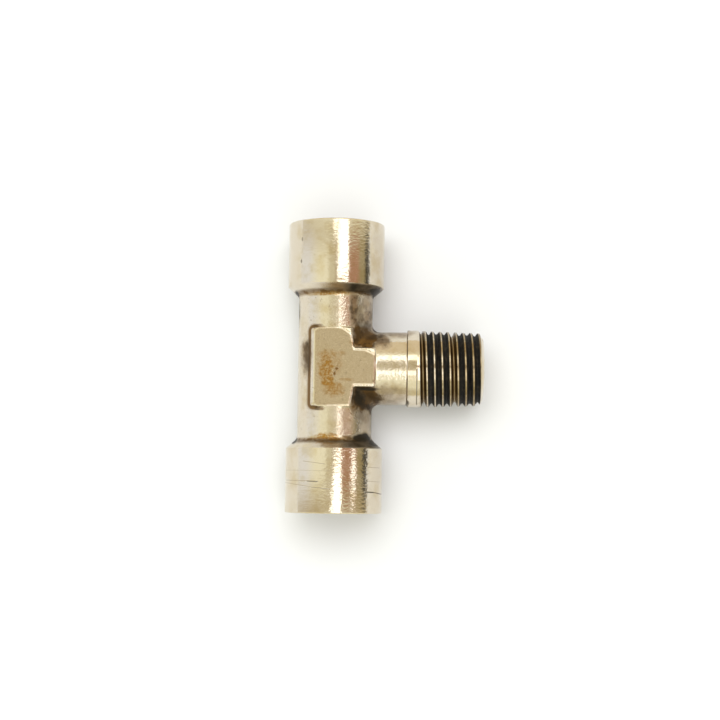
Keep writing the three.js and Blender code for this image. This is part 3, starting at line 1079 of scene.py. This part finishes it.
def metal_color(g, at, grain, dirt_and_shade):
    color = g.mix(g.step(grain.broad, 0.42, 0.72), NICKEL, WORN_NICKEL)
    color = g.mix(g.times(g.step(grain.fine, 0.5, 0.75), 0.3), color, WORN_NICKEL)
    color = g.mix(g.times(at.on_flat, 0.85), color, RUBBED_FLAT)
    color = g.mix(g.times(at.on_flat, g.step(grain.grit, 0.45, 0.7), 0.3), color, NICKEL)
    color = g.mix(g.times(grain.freckles, g.grade(at.forged, 0.08, 0.3)), color, BROWN_GRIME_AND_SHADE)
    bare = g.times(at.thread, g.grade(g.step(at.x, *BRASS_GROWS), 0.3, 0.7))
    color = g.mix(bare, color, BARE_BRASS)
    color = g.mix(g.times(at.thread, g.step(grain.fine, 0.35, 0.65), 0.4), color, BROWN_GRIME_AND_SHADE)
    groove = g.mix(g.step(at.below_crest, 0.3, 0.45), THREAD_GRIME, VALLEY_GRIME)
    color = g.mix(g.times(at.dirty_groove, 0.94), color, groove)
    color = g.mix(g.times(at.inside, 0.7), color, BARE_BRASS)
    orange = g.times(dirt_and_shade.orange, g.grade(g.step(grain.fine, 0.38, 0.6), 0.3, 1.0))
    color = g.mix(orange, color, ORANGE_STAIN)
    # Brown and black marks: dirt and stains, with painted shade at the block's foot, in the crotch, at
    # the band's step, under the arm and along the sides of the tube and neck.
    color = g.mix(dirt_and_shade.brown, color, BROWN_GRIME_AND_SHADE)
    return g.mix(g.largest(dirt_and_shade.black, dirt_and_shade.scratches), color, BLACK_GRIME_AND_SHADE)


def metal_roughness(g, at, grain, dirt_and_shade):
    dirt_and_shade_amount = g.math("POWER", g.largest(dirt_and_shade.brown, dirt_and_shade.black), DIRT_AND_SHADE_ROUGHNESS_POWER)
    return g.add(
        BASE_ROUGHNESS,
        g.times(grain.wide_lines, at.turned, LINE_ROUGHNESS),
        g.times(
            g.grade(grain.fine, *FORGED_ROUGHNESS), at.forged, g.grade(at.before_neck, 0.3, 1.0)
        ),
        g.times(g.largest(at.groove, at.inside), INSIDE_ROUGHNESS),
        g.times(dirt_and_shade_amount, DIRT_AND_SHADE_ROUGHNESS),
    )


def nickel_plated_brass():
    material = bpy.data.materials.new("nickel_plated_brass")
    material.use_nodes = True
    g = Graph(material.node_tree)
    at = Places(g)
    grain = Grain(g, at)
    dirt_and_shade = DirtAndShade(g, at, grain)
    covered = g.largest(g.times(dirt_and_shade.brown, 0.35), dirt_and_shade.black, dirt_and_shade.scratches)
    shader = g.put("ShaderNodeBsdfPrincipled", {
        "Base Color": metal_color(g, at, grain, dirt_and_shade),
        "Metallic": g.grade(covered, 1.0, 0.15),
        "Roughness": metal_roughness(g, at, grain, dirt_and_shade),
        "Specular IOR Level": SPECULAR_LEVEL,
        "Normal": metal_normal(g, at, grain, dirt_and_shade),
    })
    g.put("ShaderNodeOutputMaterial", {"Surface": shader.outputs["BSDF"]})
    return material


# ---- Dried sealant ----

SEALANT_BLACK = (0.0045, 0.0043, 0.0042)
SEALANT_BROWN = (0.028, 0.021, 0.012)
SEALANT_GRAIN = (0.07, 0.065, 0.06)
CLUMPS = (1.3, 4.0, 0.65)
GRAINS = (6.0, 3.0, 0.6)
CLUMP_HEIGHT = 0.12
GRAIN_HEIGHT = 0.03
SEALANT_ROUGHNESS = (0.5, 0.8)


def dried_sealant():
    material = bpy.data.materials.new("dried_sealant")
    material.use_nodes = True
    g = Graph(material.node_tree)
    place = g.put("ShaderNodeTexCoord", {}).outputs["Object"]
    place = g.vector("DIVIDE", place, (MM, MM, MM))
    clumps = g.noise(place, *CLUMPS)
    grains = g.noise(place, *GRAINS)
    color = g.mix(g.step(clumps, 0.45, 0.75), SEALANT_BLACK, SEALANT_BROWN)
    color = g.mix(g.times(g.step(grains, 0.62, 0.8), 0.5), color, SEALANT_GRAIN)
    height = g.add(g.times(clumps, CLUMP_HEIGHT), g.times(grains, GRAIN_HEIGHT))
    normal = g.put("ShaderNodeBump", {"Height": height, "Distance": MM, "Strength": 1.0})
    shader = g.put("ShaderNodeBsdfPrincipled", {
        "Base Color": color,
        "Roughness": g.grade(grains, *SEALANT_ROUGHNESS),
        "Specular IOR Level": SPECULAR_LEVEL,
        "Normal": normal.outputs["Normal"],
    })
    g.put("ShaderNodeOutputMaterial", {"Surface": shader.outputs["BSDF"]})
    return material


# ---- Studio ----

BEIGE = (1.04, 1.07, 1.11)
CREAM = (1.16, 1.14, 0.91)
TAN = (0.85, 0.79, 0.57)
TAN_BROWN = (0.64, 0.55, 0.38)
WARM_TAN = (0.93, 0.80, 0.57)
COPPER = (0.55, 0.31, 0.20)
OLIVE = (0.47, 0.40, 0.235)
NEAR_BLACK = (0.078, 0.075, 0.066)
PALE = (0.86, 0.86, 0.88)
LAMP = (1.0, 1.0, 0.99)
LAMP_STRENGTH = 2.7
KEY_COLOR = (1.0, 0.99, 0.97)
KEY_STRENGTH = 1.6
KEY_SPREAD = math.radians(44)
KEY_TILT = (math.radians(-14), math.radians(-8), 0.0)
FLOOR_HALF_WIDTH = 1.0
FLOOR_COLOR = (0.675, 0.70, 0.755)

# What is overhead, by the angle from the zenith towards +X in degrees.
ACROSS_STOPS = (
    (-120.0, BEIGE), (-66.0, BEIGE), (-40.0, CREAM), (-20.0, CREAM), (-12.0, TAN), (-3.0, TAN),
    (-0.5, TAN_BROWN), (8.0, TAN_BROWN), (11.0, COPPER), (55.0, COPPER), (61.0, OLIVE), (73.0, OLIVE),
    (77.0, NEAR_BLACK), (86.0, NEAR_BLACK), (90.0, BEIGE), (120.0, BEIGE),
)
# The same towards +Y, for what is further from the middle that way.
ALONG_STOPS = (
    (-90.0, TAN), (-70.0, TAN), (-60.0, CREAM), (-30.0, CREAM), (-14.0, TAN_BROWN),
    (18.0, TAN_BROWN), (28.0, CREAM), (38.0, CREAM), (50.0, WARM_TAN), (90.0, WARM_TAN),
)
# The middle that way, in degrees towards +Y, and how far from it the second row takes over.
MIDDLE_ALONG = 4.0
STEEP_ALONG = (9.0, 20.0)
# Soft light panels overhead, as degrees towards +X, degrees towards +Y and strength.
PANELS = (
    ((10.5, 31.0), (7.6, 32.0), 1.0),
    ((3.0, 20.0), (-38.0, -15.0), 0.9),
    ((4.0, 21.0), (-28.0, 0.0), 0.9),
    ((44.0, 56.0), (-9.0, 0.0), 0.8),
    ((-6.0, 3.0), (22.0, 38.0), 0.9),
    ((-3.0, 3.0), (-23.0, -9.0), 0.9),
    ((5.0, 11.0), (7.6, 38.0), 0.8),
)
PANEL_SOFTNESS = 1.0

# The camera looks almost straight down, from a quarter of a metre above the fitting.
CAMERA_PLACE = (11.54, -19.43, 245.98)
CAMERA_TURN = (0.08525, 0.02806, 0.01324)
CAMERA_LENS = 70.16
CAMERA_SENSOR_WIDTH = 36.0
CAMERA_CLIP = (0.01, 10.0)


def studio_world():
    world = bpy.data.worlds.new("studio")
    world.use_nodes = True
    bpy.context.scene.world = world
    g = Graph(world.node_tree)
    direction = g.put("ShaderNodeTexCoord", {}).outputs["Generated"]
    dx, dy, dz = g.parts(direction)
    across = g.math("DEGREES", g.math("ARCTAN2", dx, dz))
    along = g.math("DEGREES", g.math("ARCSINE", dy))
    by_across = g.ramp(across, ACROSS_STOPS)
    by_along = g.ramp(along, ALONG_STOPS)
    steep = g.step(g.math("ABSOLUTE", g.math("SUBTRACT", along, MIDDLE_ALONG)), *STEEP_ALONG)
    color = g.mix(steep, by_across, by_along)
    panels = [
        g.times(
            g.between(across, *across_range, PANEL_SOFTNESS),
            g.between(along, *along_range, PANEL_SOFTNESS), strength,
        )
        for across_range, along_range, strength in PANELS
    ]
    lamp = tuple(channel * LAMP_STRENGTH for channel in LAMP)
    color = g.mix(g.largest(*panels), color, lamp)
    seen = g.put("ShaderNodeLightPath", {}).outputs["Is Camera Ray"]
    color = g.mix(seen, color, PALE)
    shader = g.put("ShaderNodeBackground", {"Color": color, "Strength": 1.0})
    g.put("ShaderNodeOutputWorld", {"Surface": shader.outputs["Background"]})


def key_light():
    light = bpy.data.lights.new("key", "SUN")
    light.energy = KEY_STRENGTH
    light.angle = KEY_SPREAD
    light.color = KEY_COLOR
    lamp = bpy.data.objects.new("key", light)
    lamp.rotation_euler = KEY_TILT
    lamp.visible_glossy = False
    bpy.context.scene.collection.objects.link(lamp)


def floor():
    half = FLOOR_HALF_WIDTH
    corners = [(x, y, FLOOR_Z) for x, y in ((-half, -half), (half, -half), (half, half), (-half, half))]
    mesh = bpy.data.meshes.new("floor")
    mesh.from_pydata(corners, [], [(0, 1, 2, 3)])
    made = bpy.data.objects.new("floor", mesh)
    bpy.context.scene.collection.objects.link(made)
    material = bpy.data.materials.new("pale_floor")
    material.use_nodes = True
    g = Graph(material.node_tree)
    shader = g.put("ShaderNodeBsdfDiffuse", {"Color": (*FLOOR_COLOR, 1.0)})
    g.put("ShaderNodeOutputMaterial", {"Surface": shader.outputs["BSDF"]})
    mesh.materials.append(material)


def camera():
    data = bpy.data.cameras.new("camera")
    data.sensor_width = CAMERA_SENSOR_WIDTH
    data.lens = CAMERA_LENS
    data.clip_start, data.clip_end = CAMERA_CLIP
    made = bpy.data.objects.new("camera", data)
    x, y, z = CAMERA_PLACE
    made.location = (x * MM, y * MM, (z + AXIS_HEIGHT) * MM)
    made.rotation_euler = CAMERA_TURN
    bpy.context.scene.collection.objects.link(made)
    bpy.context.scene.camera = made


# ---- Scene ----


def wear(piece, material, node):
    piece.data.materials.clear()
    piece.data.materials.append(material)
    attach(piece, "root")
    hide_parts(node)


camera()
studio_world()
key_light()
floor()
wear(tee_body(), nickel_plated_brass(), "tee_body")
sealant = dried_sealant()
for strip_name in SEALANT_TURNS:
    wear(sealant_strip(strip_name), sealant, strip_name)
bpy.context.scene.view_settings.view_transform = "Standard"
